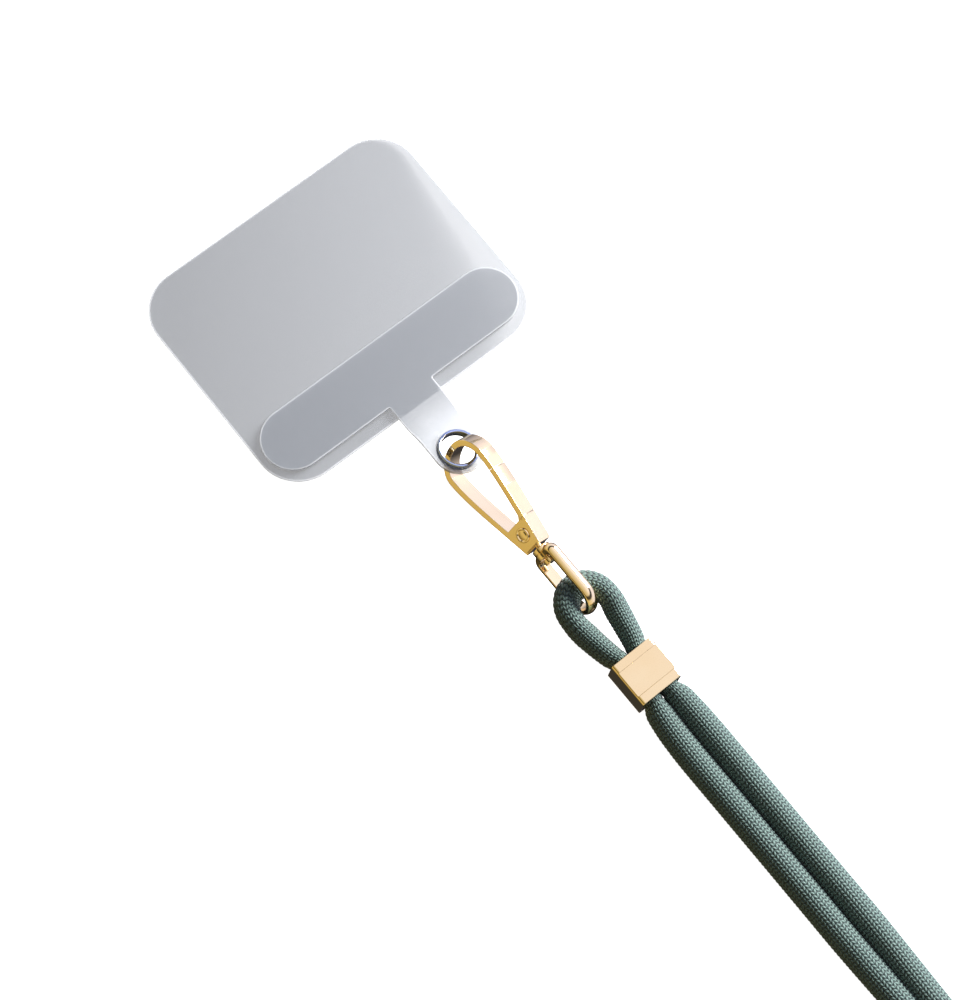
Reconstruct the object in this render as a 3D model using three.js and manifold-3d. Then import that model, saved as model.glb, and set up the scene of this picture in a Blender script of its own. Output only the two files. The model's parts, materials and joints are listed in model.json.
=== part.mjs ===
// Phone crossbody strap, lying on a table: millimetres, +Z up, +X along the rope.
// A clear patch that lies inside a phone case carries a tab with an eyelet. A snap
// hook hangs in the eyelet, a swivel ring turns on the hook, and the doubled rope
// passes through the ring and is held side by side by a flat metal sleeve.
// Until the last lines the eyelet's centre stands over x = 0, y = 0.
import * as THREE from 'three';
import Module from 'manifold-3d';
import { mergeVertices } from 'three/addons/utils/BufferGeometryUtils.js';

const wasm = await Module();
wasm.setup();

// gaps between pieces that touch on the real strap
const gap = 0.3;
const snugGap = 0.15;

// clear patch
const patchWidth = 52.8;
const patchLength = 43.4;
const patchCorner = 7.6;
const patchThickness = 0.35;
const patchBeyondStrip = 2.3;
const patchTurn = -1.2;

// tab: a cross strip stuck on the patch, and a neck that carries the eyelet
const stripSpan = 50.4;
const stripWidth = 10.9;
const neckWidth = 8.7;
const neckReach = 12.4;
const tabThickness = 0.6;
const tabEndRadius = 4.4;
const tabEndThickness = 0.65;
const tabTwist = 14;
const twistStarts = 8.8;
const twistEnds = 3.8;

// eyelet
const eyeletBore = 5.7;
const eyeletWall = 0.25;
const eyeletFlange = 0.35;
const eyeletRim = 0.3;
const eyeletDrop = 0.05;

// snap hook: a teardrop of flat strip, seen along its depth
const hookReach = 1.0;
const hookHalfWidth = 4.82;
const hookRound = 4.3;
const hookSkew = 0.95;
const hookLength = 21.5;
const hookEndHalfWidth = 1.87;
const hookStrip = 1.07;
const hookDepth = 3.1;
const hookBodyLength = 4.9;
const hookRoll = 53;
const gateLength = 10.9;
const tongueThickness = 1.4;
const tongueRadius = 1.1;
const slotLeft = 1.5;
const slotRight = 1.65;
const rivetRadius = 0.6;
const rivetHeadRadius = 1.3;
const rivetHeadHeight = 0.22;
const rivetFromEnd = 2.75;
const rivetSide = 0.24;

// swivel: a post on the hook's end, and the ring that turns on it
const postRadius = 0.6;
const postHeadRadius = 1.15;
const postHeadLength = 0.9;
const barrelRadius = 1.6;
const barrelLength = 1.9;
const ringLength = 13.1;
const ringHeight = 7.6;
const ringStrip = 1.1;
const ringWidth = 2.0;
const ringBase = 1.5;
const ringNearRound = 1.7;
const ringRoll = 14;

// sleeve: a flat tube round both strands, with a raised bare plate on top
const sleeveFromRing = 8.9;
const sleeveLength = 7.9;
const sleeveWidth = 8.1;
const sleeveHeight = 6.9;
const sleeveWall = 0.45;
const sleeveCorner = 0.6;
const plateRise = 0.3;
const plateEndMargin = 1.5;
const plateSideMargin = 0.15;

// rope
const ropeDiameter = 5.0;
const ropeTogether = 90;
const ropeLoopLength = 420;
const ropeLoopHalfWidth = 118;
const ropeSides = 10;
const bendFromRing = 1.5;

const degree = Math.PI / 180;
const rollAngle = hookRoll * degree;
const hookEnd = hookLength - hookReach;
const hookTop = hookRound - hookReach;
const swivelHeight = hookHalfWidth * Math.sin(rollAngle) + hookDepth / 2 * Math.cos(rollAngle);
const eyeletHeight = swivelHeight - eyeletDrop;
const ringStart = hookEnd + gap + barrelLength - ringBase;
const ringEnd = ringStart + ringLength;
const sleeveStart = ringEnd + sleeveFromRing;
const sleeveEnd = sleeveStart + sleeveLength;
const tabBottom = patchThickness + snugGap;
const tabMiddle = tabBottom + tabThickness / 2;
const patchNear = neckReach - patchBeyondStrip;
const patchFar = patchNear + patchLength;

// a closed geometry as a solid, and back again
function solidOf(geometry) {
  geometry.deleteAttribute('normal');
  geometry.deleteAttribute('uv');
  const merged = mergeVertices(geometry, 1e-4);
  return new wasm.Manifold(new wasm.Mesh({
    numProp: 3,
    vertProperties: new Float32Array(merged.attributes.position.array),
    triVerts: new Uint32Array(merged.index.array),
  }));
}

function geometryOf(solid) {
  const mesh = solid.getMesh();
  const geometry = new THREE.BufferGeometry();
  geometry.setAttribute('position', new THREE.BufferAttribute(mesh.vertProperties, 3));
  geometry.setIndex(new THREE.BufferAttribute(mesh.triVerts, 1));
  geometry.computeVertexNormals();
  return geometry;
}

// an outline pulled along Z, half of it on each side of z = 0
function plateOf(shape, depth, curveSegments = 12) {
  const geometry = new THREE.ExtrudeGeometry(shape, {
    depth, bevelEnabled: false, curveSegments, steps: 1,
  });
  return geometry.translate(0, 0, -depth / 2);
}

function roundedRectangle(x0, x1, y0, y1, radius) {
  const shape = new THREE.Shape();
  shape.moveTo(x0 + radius, y0);
  shape.absarc(x1 - radius, y0 + radius, radius, -Math.PI / 2, 0);
  shape.absarc(x1 - radius, y1 - radius, radius, 0, Math.PI / 2);
  shape.absarc(x0 + radius, y1 - radius, radius, Math.PI / 2, Math.PI);
  shape.absarc(x0 + radius, y0 + radius, radius, Math.PI, 1.5 * Math.PI);
  return shape;
}

function boxBetween(x0, x1, y0, y1, z0, z1) {
  const box = new THREE.BoxGeometry(x1 - x0, y1 - y0, z1 - z0);
  return solidOf(box.translate((x0 + x1) / 2, (y0 + y1) / 2, (z0 + z1) / 2));
}

// a round bar along X
function barAlongX(radius, x0, x1, sides = 20) {
  const bar = new THREE.CylinderGeometry(radius, radius, x1 - x0, sides);
  return solidOf(bar.rotateZ(-Math.PI / 2).translate((x0 + x1) / 2, 0, 0));
}

// the clear patch, a thin film with round corners
function patchSheet() {
  const half = patchWidth / 2;
  const outline = roundedRectangle(-patchFar, patchLength - patchFar, -half, half, patchCorner);
  return plateOf(outline, patchThickness, 8).translate(0, 0, patchThickness / 2);
}

// the neck turns about its length before it reaches the eyelet, to hang in the hook
function twisted(geometry) {
  const places = geometry.attributes.position;
  for (let i = 0; i < places.count; i += 1) {
    const way = (places.getX(i) + twistStarts) / (twistStarts - twistEnds);
    const turn = -tabTwist * degree * THREE.MathUtils.smoothstep(way, 0, 1);
    const y = places.getY(i);
    const z = places.getZ(i) - tabMiddle;
    places.setY(i, y * Math.cos(turn) - z * Math.sin(turn));
    places.setZ(i, tabMiddle + y * Math.sin(turn) + z * Math.cos(turn));
  }
  return geometry;
}

function tabPlate(outline, thickness) {
  return plateOf(outline, thickness, 14).translate(0, 0, tabMiddle);
}

// the tab: a cross strip with round ends, the neck, and its end round about the eyelet
function tabStrip() {
  const end = stripWidth / 2;
  const middle = -neckReach - end;
  const side = stripSpan / 2 - end;
  const cross = new THREE.Shape();
  cross.absarc(middle, side, end, 0, Math.PI);
  cross.absarc(middle, -side, end, Math.PI, 2 * Math.PI);

  const neckLength = tabThickness / 2 - middle - twistEnds;
  const neck = new THREE.BoxGeometry(neckLength, neckWidth, tabThickness, 12, 2, 1)
    .translate(middle + neckLength / 2, 0, tabMiddle);

  const round = new THREE.Shape();
  round.moveTo(-twistEnds, 0);
  round.lineTo(-twistEnds, -tabEndRadius);
  round.absarc(0, 0, tabEndRadius, -Math.PI / 2, Math.PI / 2);
  round.lineTo(-twistEnds, tabEndRadius);
  const hole = new THREE.Path();
  hole.absarc(0, 0, eyeletBore / 2 + eyeletWall + snugGap, 0, 2 * Math.PI, true);
  round.holes.push(hole);
  return geometryOf(solidOf(tabPlate(cross, tabThickness)).add(solidOf(twisted(neck)))
    .add(solidOf(twisted(tabPlate(round, tabEndThickness)))));
}

// the eyelet, a short tube with a thin rim on each face of the tab
function eyelet() {
  const bore = eyeletBore / 2;
  const barrel = bore + eyeletWall;
  const rim = barrel + eyeletFlange;
  const inner = tabEndThickness / 2 + snugGap;
  const outer = inner + eyeletRim;
  const bevel = eyeletRim / 3;
  const profile = [
    [bore + bevel, -outer], [rim - bevel, -outer], [rim, -outer + bevel], [rim, -inner],
    [barrel, -inner], [barrel, inner], [rim, inner], [rim, outer - bevel],
    [rim - bevel, outer], [bore + bevel, outer], [bore, outer - bevel],
    [bore, -outer + bevel], [bore + bevel, -outer],
  ].map(([r, z]) => new THREE.Vector2(r, z));
  return twisted(new THREE.LatheGeometry(profile, 28).rotateX(Math.PI / 2)
    .translate(0, 0, tabMiddle));
}

// the hook's teardrop, drawn inward by an inset: two quarter ellipses and two legs
function teardrop(inset) {
  const reach = hookRound - inset;
  const wide = hookHalfWidth - inset;
  const end = hookEndHalfWidth - inset;
  const span = hookEnd - hookTop;
  const shape = new THREE.Shape();
  shape.moveTo(hookEnd, end);
  shape.bezierCurveTo(hookTop + span * 0.5, end + (wide - end) * 0.62,
    hookTop + span * 0.2, wide, hookTop, wide);
  shape.absellipse(hookTop, hookSkew, reach, wide - hookSkew, Math.PI / 2, Math.PI);
  shape.absellipse(hookTop, hookSkew, reach, wide + hookSkew, Math.PI, 1.5 * Math.PI);
  shape.bezierCurveTo(hookTop + span * 0.2, -wide,
    hookTop + span * 0.5, -end - (wide - end) * 0.62, hookEnd, -end);
  shape.closePath();
  return shape;
}

const rivetX = hookEnd - rivetFromEnd;
const gateReach = Math.hypot(gateLength, hookHalfWidth - hookStrip / 2);
const bodyStart = hookEnd - hookBodyLength;
const farSide = 2 * hookHalfWidth;

function strapOfStrip() {
  const outer = solidOf(plateOf(teardrop(0), hookDepth));
  const inner = solidOf(plateOf(teardrop(hookStrip), 2 * hookDepth));
  const open = inner.intersect(boxBetween(-farSide, bodyStart, -farSide, farSide,
    -farSide, farSide));
  return outer.subtract(open);
}

// a round bar on the rivet's axis
function aboutRivet(radius, depth, sides) {
  const bar = new THREE.CylinderGeometry(radius, radius, depth, sides);
  return solidOf(bar.rotateX(Math.PI / 2).translate(rivetX, rivetSide, 0));
}

function rivetHole() {
  return aboutRivet(rivetRadius + snugGap, 2 * hookDepth, 20);
}

// the part of the right leg within a reach of the rivet, so that the gate swings clear
function gateZone(reach, end) {
  return aboutRivet(reach, 2 * hookDepth, 72)
    .intersect(boxBetween(-farSide, end, 0, farSide, -farSide, farSide));
}

// hook, body and swivel post in one casting, open where the gate closes it
function hookBody() {
  const slotHalf = tongueThickness / 2 + gap;
  const slot = boxBetween(bodyStart - 1, rivetX + tongueRadius + gap, -slotLeft, slotRight,
    -slotHalf, slotHalf);
  const head = barAlongX(postHeadRadius, ringStart + ringBase + gap,
    ringStart + ringBase + gap + postHeadLength);
  const post = barAlongX(postRadius, hookEnd - hookStrip, ringStart + ringBase + 2 * gap);
  return geometryOf(strapOfStrip().subtract(gateZone(gateReach + gap, bodyStart))
    .subtract(slot).subtract(rivetHole()).add(post).add(head));
}

// gate: the loose stretch of the strip, with a thin tongue that turns on the rivet
function hookGate() {
  const legEnd = bodyStart - gap;
  const leg = strapOfStrip().intersect(gateZone(gateReach, legEnd));
  const legMiddle = hookEndHalfWidth + hookStrip / 4;
  const arm = new THREE.Shape();
  arm.moveTo(legEnd - 2 * hookStrip, legMiddle + hookStrip / 2);
  arm.lineTo(legEnd - hookStrip / 2, legMiddle - hookStrip);
  arm.lineTo(rivetX - tongueRadius / 2, rivetSide - tongueRadius);
  arm.lineTo(rivetX, rivetSide - tongueRadius);
  arm.lineTo(rivetX, rivetSide + tongueRadius);
  arm.lineTo(legEnd, slotRight - gap);
  arm.lineTo(legEnd - hookStrip / 4, legMiddle + hookStrip / 2);
  arm.closePath();
  return geometryOf(leg
    .add(aboutRivet(tongueRadius, tongueThickness, 20))
    .add(solidOf(plateOf(arm, tongueThickness)))
    .subtract(rivetHole()));
}

// rivet with a low round head on each face of the hook
function gateRivet() {
  const face = hookDepth / 2 + snugGap;
  const top = face + rivetHeadHeight;
  const profile = [
    [0, -top], [rivetHeadRadius * 0.6, -top], [rivetHeadRadius, -top + rivetHeadHeight / 2],
    [rivetHeadRadius, -face], [rivetRadius, -face], [rivetRadius, face],
    [rivetHeadRadius, face], [rivetHeadRadius, top - rivetHeadHeight / 2],
    [rivetHeadRadius * 0.6, top], [0, top],
  ].map(([r, z]) => new THREE.Vector2(r, z));
  return new THREE.LatheGeometry(profile, 20).rotateX(Math.PI / 2)
    .translate(rivetX, rivetSide, 0);
}

// swivel ring: a long eye of flat strip on a short barrel, drawn in X and Z
function swivelRing() {
  const half = ringHeight / 2;
  const eyeOutline = (x0, x1, high, nearRound) => {
    const shape = new THREE.Shape();
    shape.moveTo(x0 + nearRound, -high);
    shape.absellipse(x1 - high, 0, high, high, -Math.PI / 2, Math.PI / 2);
    shape.absarc(x0 + nearRound, high - nearRound, nearRound, Math.PI / 2, Math.PI);
    shape.absarc(x0 + nearRound, nearRound - high, nearRound, Math.PI, 1.5 * Math.PI);
    return shape;
  };
  const outer = eyeOutline(ringStart, ringEnd, half, ringNearRound);
  const inner = eyeOutline(ringStart + ringBase, ringEnd - ringStrip, half - ringStrip,
    ringNearRound - ringStrip);
  const eye = solidOf(plateOf(outer, ringWidth).rotateX(Math.PI / 2));
  const opening = solidOf(plateOf(inner, 4 * ringWidth).rotateX(Math.PI / 2));
  const barrelStart = hookEnd + gap;
  const barrel = barAlongX(barrelRadius, barrelStart, barrelStart + barrelLength);
  const bore = barAlongX(postRadius + gap, barrelStart - 1, barrelStart + barrelLength + 1);
  return geometryOf(barrel.add(eye.subtract(opening)).subtract(bore));
}

// sleeve: drawn in Y and Z, pulled along X, with the plate on its top
function sleeve() {
  const half = sleeveWidth / 2;
  const tubeOutline = roundedRectangle(-half, half, 0, sleeveHeight, sleeveCorner);
  tubeOutline.holes.push(roundedRectangle(-half + sleeveWall, half - sleeveWall, sleeveWall,
    sleeveHeight - sleeveWall, sleeveCorner - sleeveWall / 2));
  const tube = plateOf(tubeOutline, sleeveLength, 5).rotateX(Math.PI / 2).rotateZ(Math.PI / 2);
  const plate = roundedRectangle(-sleeveLength / 2 + plateEndMargin,
    sleeveLength / 2 - plateEndMargin, -half + plateSideMargin, half - plateSideMargin,
    sleeveWall / 2);
  const plateBottom = sleeveHeight - sleeveWall / 2;
  const plateSolid = plateOf(plate, plateRise + sleeveWall / 2, 4)
    .translate(0, 0, plateBottom + (plateRise + sleeveWall / 2) / 2);
  return geometryOf(solidOf(tube).add(solidOf(plateSolid)))
    .translate((sleeveStart + sleeveEnd) / 2, 0, 0);
}

// half of the rope's route, from the bend in the ring to the far end of the loop;
// high and wide are the section's half sizes as shares of the rope's radius
const ropeRadius = ropeDiameter / 2;
const sideBySide = ropeRadius + gap / 3;
const inSleeve = sleeveWidth / 4 - sleeveWall / 2 - gap / 4;
const sleeveMiddle = sleeveHeight / 2;
const ringGrip = ringWidth / 2 + 2 * gap + 0.8 * ropeRadius;
const bendX = ringEnd - ringStrip - bendFromRing - 0.95 * ropeRadius;
const parted = sleeveEnd + ropeTogether;
const r = ropeRadius;
const ropeRoute = [
  // x, y, z, wide, high, steps to the next row
  [bendX, 0, swivelHeight, 0.95, 0.82, 3],
  [bendX + 0.2 * r, 0.68 * r, swivelHeight, 0.92, 0.84, 3],
  [bendX + 0.84 * r, 1.24 * r, swivelHeight - 0.04 * r, 0.86, 0.96, 3],
  [ringEnd - 0.16 * r, ringGrip, swivelHeight - 0.12 * r, 0.8, 1.02, 3],
  [ringEnd + 0.88 * r, 1.3 * r, sleeveMiddle + 0.12 * r, 0.85, 1.04, 3],
  [sleeveStart - 0.64 * r, 0.9 * r, sleeveMiddle, 0.76, 1.06, 2],
  [sleeveStart - 0.16 * r, inSleeve + 0.02 * r, sleeveMiddle, 0.67, 1.05, 2],
  [sleeveStart + 0.32 * r, inSleeve, sleeveMiddle, 0.66, 1.05, 1],
  [sleeveEnd - 0.32 * r, inSleeve, sleeveMiddle, 0.66, 1.05, 1],
  [sleeveEnd + 0.16 * r, inSleeve + 0.02 * r, sleeveMiddle, 0.67, 1.05, 2],
  [sleeveEnd + 0.88 * r, 0.97 * r, sleeveMiddle - 0.08 * r, 0.9, 1.02, 2],
  [sleeveEnd + 2.2 * r, 1.02 * r, 1.12 * r, 0.96, 1, 2],
  [sleeveEnd + 4 * r, sideBySide, 1.01 * r, 1, 1, 2],
  [sleeveEnd + 8 * r, sideBySide, r, 1, 1, 2],
  [parted - 18 * r, sideBySide, r, 1, 1, 2],
  [parted, sideBySide + 0.16 * r, r, 1, 1, 3],
  [parted + 0.11 * ropeLoopLength, 0.11 * ropeLoopHalfWidth, r, 1, 1, 3],
  [parted + 0.27 * ropeLoopLength, 0.42 * ropeLoopHalfWidth, r, 1, 1, 3],
  [parted + 0.45 * ropeLoopLength, 0.78 * ropeLoopHalfWidth, r, 1, 1, 3],
  [parted + 0.65 * ropeLoopLength, ropeLoopHalfWidth, r, 1, 1, 3],
  [parted + 0.84 * ropeLoopLength, 0.84 * ropeLoopHalfWidth, r, 1, 1, 3],
  [parted + 0.96 * ropeLoopLength, 0.45 * ropeLoopHalfWidth, r, 1, 1, 3],
  [parted + ropeLoopLength, 0, r, 1, 1, 3],
];

// the rope, one closed tube: rings of points stand square to the route and are joined
function rope() {
  const back = ropeRoute.slice(1, -1).reverse();
  const rows = ropeRoute.concat(back.map(([x, y, z, wide, high], index) => {
    const steps = ropeRoute[ropeRoute.length - 3 - index][5];
    return [x, -y, z, wide, high, steps];
  }));
  rows[ropeRoute.length - 1][5] = ropeRoute[ropeRoute.length - 2][5];
  const route = new THREE.CatmullRomCurve3(
    rows.map(([x, y, z]) => new THREE.Vector3(x, y, z)), true, 'centripetal');
  const up = new THREE.Vector3(0, 0, 1);
  const positions = [];
  let rings = 0;
  rows.forEach((row, index) => {
    const next = rows[(index + 1) % rows.length];
    for (let step = 0; step < row[5]; step += 1) {
      const share = step / row[5];
      const t = (index + share) / rows.length;
      const centre = route.getPoint(t);
      const along = route.getTangent(t);
      const side = new THREE.Vector3().crossVectors(up, along).normalize();
      const lift = new THREE.Vector3().crossVectors(along, side);
      const wide = THREE.MathUtils.lerp(row[3], next[3], share) * ropeRadius;
      const high = THREE.MathUtils.lerp(row[4], next[4], share) * ropeRadius;
      for (let k = 0; k < ropeSides; k += 1) {
        const angle = 2 * Math.PI * (k + 0.5) / ropeSides;
        const point = centre.clone().addScaledVector(side, wide * Math.cos(angle))
          .addScaledVector(lift, high * Math.sin(angle));
        positions.push(point.x, point.y, point.z);
      }
      rings += 1;
    }
  });
  const index = [];
  for (let ring = 0; ring < rings; ring += 1) {
    const next = (ring + 1) % rings;
    for (let k = 0; k < ropeSides; k += 1) {
      const a = ring * ropeSides + k;
      const b = ring * ropeSides + (k + 1) % ropeSides;
      const c = next * ropeSides + (k + 1) % ropeSides;
      const d = next * ropeSides + k;
      index.push(a, b, c, a, c, d);
    }
  }
  const geometry = new THREE.BufferGeometry();
  geometry.setAttribute('position', new THREE.Float32BufferAttribute(positions, 3));
  geometry.setIndex(index);
  geometry.computeVertexNormals();
  return geometry;
}

const clearFilm = new THREE.MeshStandardMaterial({
  color: 0xd9dde0, roughness: 0.2, metalness: 0, transparent: true, opacity: 0.35,
});
const tabPlastic = new THREE.MeshStandardMaterial({
  color: 0xb4b9bf, roughness: 0.35, metalness: 0, transparent: true, opacity: 0.7,
});
const steel = new THREE.MeshStandardMaterial({ color: 0xc9cdd2, roughness: 0.2, metalness: 1 });
const gold = new THREE.MeshStandardMaterial({ color: 0xe3bf75, roughness: 0.15, metalness: 1 });
const ropeYarn = new THREE.MeshStandardMaterial({ color: 0x46695f, roughness: 0.9, metalness: 0 });

function named(name, geometry, material) {
  const mesh = new THREE.Mesh(geometry, material);
  mesh.name = name;
  return mesh;
}

// the patch is stuck on a little askew, and lies down from the eyelet to its far edge on
// the table
const patchGroup = new THREE.Group();
const lowest = (patchFar - patchCorner) * Math.cos(patchTurn * degree) + patchCorner
  + (patchWidth / 2 - patchCorner) * Math.sin(Math.abs(patchTurn * degree));
const patchSlope = Math.asin((eyeletHeight - tabMiddle) / lowest);
patchGroup.rotation.set(0, -patchSlope, patchTurn * degree);
patchGroup.position.set(Math.sin(patchSlope) * tabMiddle, 0,
  eyeletHeight - Math.cos(patchSlope) * tabMiddle);
patchGroup.add(named('patch_sheet', patchSheet(), clearFilm));
patchGroup.add(named('tab_strip', tabStrip(), tabPlastic));
patchGroup.add(named('eyelet', eyelet(), steel));

const hookGroup = new THREE.Group();
hookGroup.rotation.x = rollAngle;
hookGroup.position.z = swivelHeight;
hookGroup.add(named('hook_body', hookBody(), gold));
hookGroup.add(named('hook_gate', hookGate(), gold));
hookGroup.add(named('gate_rivet', gateRivet(), gold));

const ringGroup = new THREE.Group();
ringGroup.rotation.x = -ringRoll * degree;
ringGroup.position.z = swivelHeight;
ringGroup.add(named('swivel_ring', swivelRing(), gold));

const strap = new THREE.Group();
strap.add(patchGroup, hookGroup, ringGroup);
strap.add(named('sleeve', sleeve(), gold));
strap.add(named('rope', rope(), ropeYarn));

// the origin lies on the table under the middle of the whole strap
const bounds = new THREE.Box3().setFromObject(strap);
const middle = bounds.getCenter(new THREE.Vector3());
strap.position.set(-middle.x, -middle.y, -bounds.min.z);

export default strap;
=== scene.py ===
# Looks of the phone crossbody strap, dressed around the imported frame
import json
import math

import bmesh
import bpy
import numpy as np
from mathutils import Matrix, Vector
from mathutils.geometry import delaunay_2d_cdt


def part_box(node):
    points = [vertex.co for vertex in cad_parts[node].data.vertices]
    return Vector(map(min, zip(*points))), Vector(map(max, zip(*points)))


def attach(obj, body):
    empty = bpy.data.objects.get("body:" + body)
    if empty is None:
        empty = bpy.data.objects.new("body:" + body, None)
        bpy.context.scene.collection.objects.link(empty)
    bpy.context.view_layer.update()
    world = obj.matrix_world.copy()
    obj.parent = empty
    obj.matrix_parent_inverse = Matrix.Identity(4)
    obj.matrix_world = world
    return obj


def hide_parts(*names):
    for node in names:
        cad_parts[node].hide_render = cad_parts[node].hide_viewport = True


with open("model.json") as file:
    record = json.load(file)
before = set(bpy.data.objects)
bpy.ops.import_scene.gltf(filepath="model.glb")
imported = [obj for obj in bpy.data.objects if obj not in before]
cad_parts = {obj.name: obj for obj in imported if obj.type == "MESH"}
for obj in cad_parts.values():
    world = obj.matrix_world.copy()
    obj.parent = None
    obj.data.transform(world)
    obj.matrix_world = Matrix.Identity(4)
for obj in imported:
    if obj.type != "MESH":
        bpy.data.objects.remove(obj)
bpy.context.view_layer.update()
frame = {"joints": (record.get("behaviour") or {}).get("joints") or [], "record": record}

mm = 0.001
mounts = {mount["name"]: mount for mount in frame["record"]["mounts"]}
joints = {joint["name"]: joint for joint in frame["joints"]}


def boxCentre(node):
    low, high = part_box(node)
    return np.array((low + high) / 2)


# places, all in millimetres from the point on the table under the eyelet
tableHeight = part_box("sleeve")[0].z / mm
eyeletX = boxCentre("eyelet")[0] / mm
eyeletHeight = boxCentre("eyelet")[2] / mm - tableHeight
swivelHeight = boxCentre("swivel_ring")[2] / mm - tableHeight
patchSlope = math.asin(mounts["patch_face"]["axis"][0])
gateAxis = joints["gate_hinge"]["axis"]
hookRoll = math.atan2(-gateAxis[1], gateAxis[2])
ringRoll = math.radians(-14)
clearance = 0.3


# turned about X, then lifted
def turned(points, roll, lift):
    x, y, z = points[..., 0], points[..., 1], points[..., 2]
    return np.stack([x, y * math.cos(roll) - z * math.sin(roll),
                     lift + y * math.sin(roll) + z * math.cos(roll)], -1)


def inHook(points):
    return turned(points, hookRoll, swivelHeight)


def inRing(points):
    return turned(points, ringRoll, swivelHeight)


# camera: a long lens from above, tilted a little towards the near side of the strap
view = {
    "lens": 110, "distance": 491.7, "aim": (8.60, -2.38, 4.0),
    "tiltAlong": 9.65, "tiltAside": 11.81, "turn": 51.52, "sensor": 36, "clipStart": 0.01,
}


def placeCamera():
    along, aside = math.sin(math.radians(view["tiltAlong"])), -math.sin(math.radians(view["tiltAside"]))
    back = Vector((along, aside, math.sqrt(1 - along ** 2 - aside ** 2)))
    turn = math.radians(view["turn"])
    right = Vector((math.cos(turn), math.sin(turn), 0))
    right = (right - back * right.dot(back)).normalized()
    camera = bpy.data.objects.new("camera", bpy.data.cameras.new("camera"))
    camera.data.lens = view["lens"]
    camera.data.sensor_width = view["sensor"]
    camera.data.clip_start = view["clipStart"]
    aim = Vector(view["aim"]) + Vector((eyeletX, 0, tableHeight))
    place = Matrix((right, back.cross(right), back)).transposed().to_4x4()
    place.translation = (aim + back * view["distance"]) * mm
    camera.matrix_world = place
    bpy.context.scene.collection.objects.link(camera)
    bpy.context.scene.camera = camera


# corners of every cell of a grid of points, row by row
def gridCells(rows, columns, closeRows, closeColumns):
    row, column = np.meshgrid(np.arange(rows if closeRows else rows - 1),
                              np.arange(columns if closeColumns else columns - 1), indexing="ij")
    nextRow, nextColumn = (row + 1) % rows, (column + 1) % columns
    cells = [row * columns + column, row * columns + nextColumn,
             nextRow * columns + nextColumn, nextRow * columns + column]
    return np.stack(cells, -1).reshape(-1, 4)


# a shell is its points and a list of arrays of faces; a tube's two ends may be capped
def gridShell(points, closeRows=False, capped=True):
    rows, columns = points.shape[:2]
    faces = [gridCells(rows, columns, closeRows, True)]
    if capped and not closeRows:
        first = np.arange(columns)
        faces += [first[None, ::-1], first[None, :] + (rows - 1) * columns]
    return points.reshape(-1, 3), faces


# a mesh object in the row frame, made of closed shells, smooth but for its sharp edges
def makeMesh(name, shells, sharp=38, uv=None, edge=None):
    points, starts, totals, corners = [], [], [], []
    pointCount = cornerCount = 0
    for shellPoints, faceArrays in shells:
        points.append(shellPoints)
        for faces in faceArrays:
            count, size = faces.shape
            corners.append((faces + pointCount).ravel())
            starts.append(cornerCount + np.arange(count) * size)
            totals.append(np.full(count, size))
            cornerCount += count * size
        pointCount += len(shellPoints)
    points = (np.concatenate(points) + (eyeletX, 0, tableHeight)) * mm
    corners, starts, totals = (np.concatenate(part) for part in (corners, starts, totals))
    mesh = bpy.data.meshes.new(name)
    mesh.vertices.add(len(points))
    mesh.vertices.foreach_set("co", points.astype(np.float32).ravel())
    mesh.loops.add(len(corners))
    mesh.loops.foreach_set("vertex_index", corners.astype(np.int32))
    mesh.polygons.add(len(starts))
    mesh.polygons.foreach_set("loop_start", starts.astype(np.int32))
    mesh.polygons.foreach_set("loop_total", totals.astype(np.int32))
    if uv is not None:
        mesh.uv_layers.new(name="stitches").data.foreach_set("uv", uv.astype(np.float32).ravel())
    if edge is not None:
        mesh.attributes.new("edge", "FLOAT", "POINT").data.foreach_set("value", edge.astype(np.float32))
    mesh.update(calc_edges=True)
    mesh.validate()
    piece = bpy.data.objects.new(name, mesh)
    bpy.context.scene.collection.objects.link(piece)
    faceOutwards(mesh)
    mesh.shade_smooth()
    mesh.set_sharp_from_angle(angle=math.radians(sharp))
    return piece


def faceOutwards(mesh):
    work = bmesh.new()
    work.from_mesh(mesh)
    bmesh.ops.recalc_face_normals(work, faces=work.faces)
    work.to_mesh(mesh)
    work.free()


# one exact cut or join of two closed meshes; the second is used up
def joined(piece, tool, how, sharp=38):
    step = piece.modifiers.new(how, "BOOLEAN")
    step.operation, step.object, step.solver = how, tool, "EXACT"
    bpy.context.view_layer.update()
    result = bpy.data.meshes.new_from_object(piece.evaluated_get(bpy.context.evaluated_depsgraph_get()))
    piece.modifiers.clear()
    piece.data = result
    bpy.data.objects.remove(tool)
    result.shade_smooth()
    result.set_sharp_from_angle(angle=math.radians(sharp))
    return piece


def finishPiece(piece, material, slot, body, *nodes):
    piece.data.materials.clear()
    piece.data.materials.append(material)
    if slot != "rope_yarn":  # flat faces stay flat beside their rounded edges
        piece.modifiers.new("flat faces", "WEIGHTED_NORMAL").keep_sharp = True
    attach(piece, body)
    if nodes:
        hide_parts(*nodes)


# a closed loop moved inwards by a distance, along the normals of its points
def insetLoop(loop, distance):
    ahead = np.roll(loop, -1, 0) - np.roll(loop, 1, 0)
    normal = np.stack([-ahead[:, 1], ahead[:, 0]], -1)
    normal /= np.linalg.norm(normal, axis=1)[:, None]
    return loop + normal * distance


def arc(x, y, radiusX, radiusY, start, end, count):
    angle = np.radians(np.linspace(start, end, count))
    return np.stack([x + radiusX * np.cos(angle), y + radiusY * np.sin(angle)], -1)


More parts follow.
